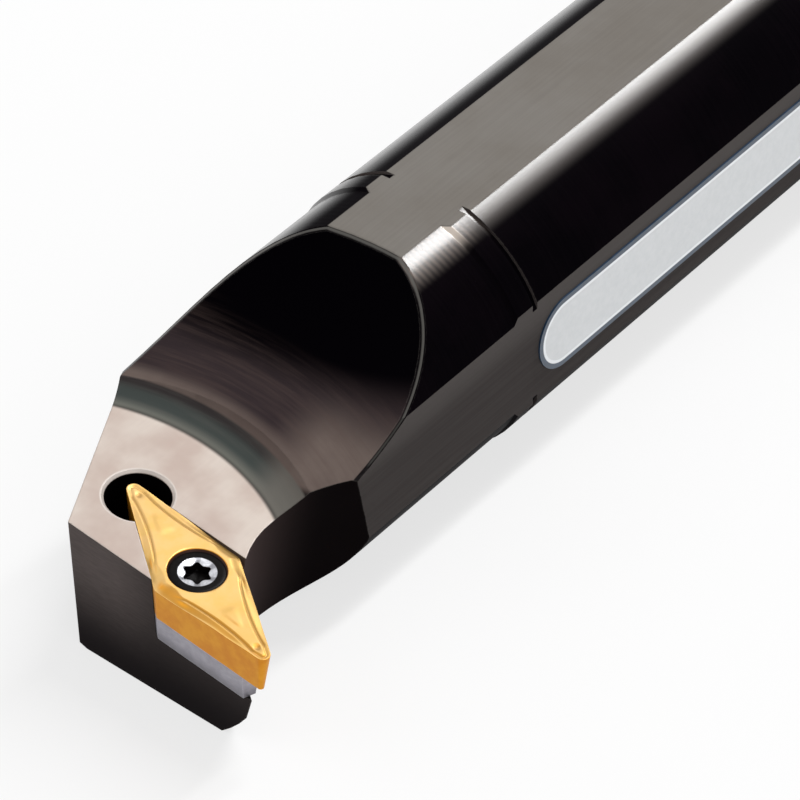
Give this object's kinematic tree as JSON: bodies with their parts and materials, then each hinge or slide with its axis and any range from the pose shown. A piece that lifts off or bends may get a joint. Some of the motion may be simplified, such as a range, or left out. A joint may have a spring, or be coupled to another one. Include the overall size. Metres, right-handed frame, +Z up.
{
  "type": "indexable boring bar",
  "caption": "Right-hand indexable boring bar: round steel shank with clamping flats, cutting head with chip scoop, and a screw-held rhombic insert on a shim.",
  "frame": {"origin": "rear end of the bar, on the middle of the bottom flat it rests on", "axes": "+X along the bar from the rear end to the cutting head, +Y towards the side the cutting corner reaches out to, +Z up, square to the bottom flat"},
  "size_m": [0.3, 0.038, 0.03],
  "materials": {
    "black_steel": "black oxide on hardened steel, ground flats and ground rake plane",
    "shim_carbide": "ground, satin",
    "screw_steel": "bright head, dark socket",
    "gold_coating": "gold-coloured hard coating, satin",
    "label_film": "printed film, satin, pale with a blue border, no text"
  },
  "bodies": {
    "root": {"bar_body": "black_steel", "shim": "shim_carbide", "shim_screw": "screw_steel", "insert": "gold_coating", "insert_screw": "screw_steel", "label": "label_film"}
  },
  "joints": []
}
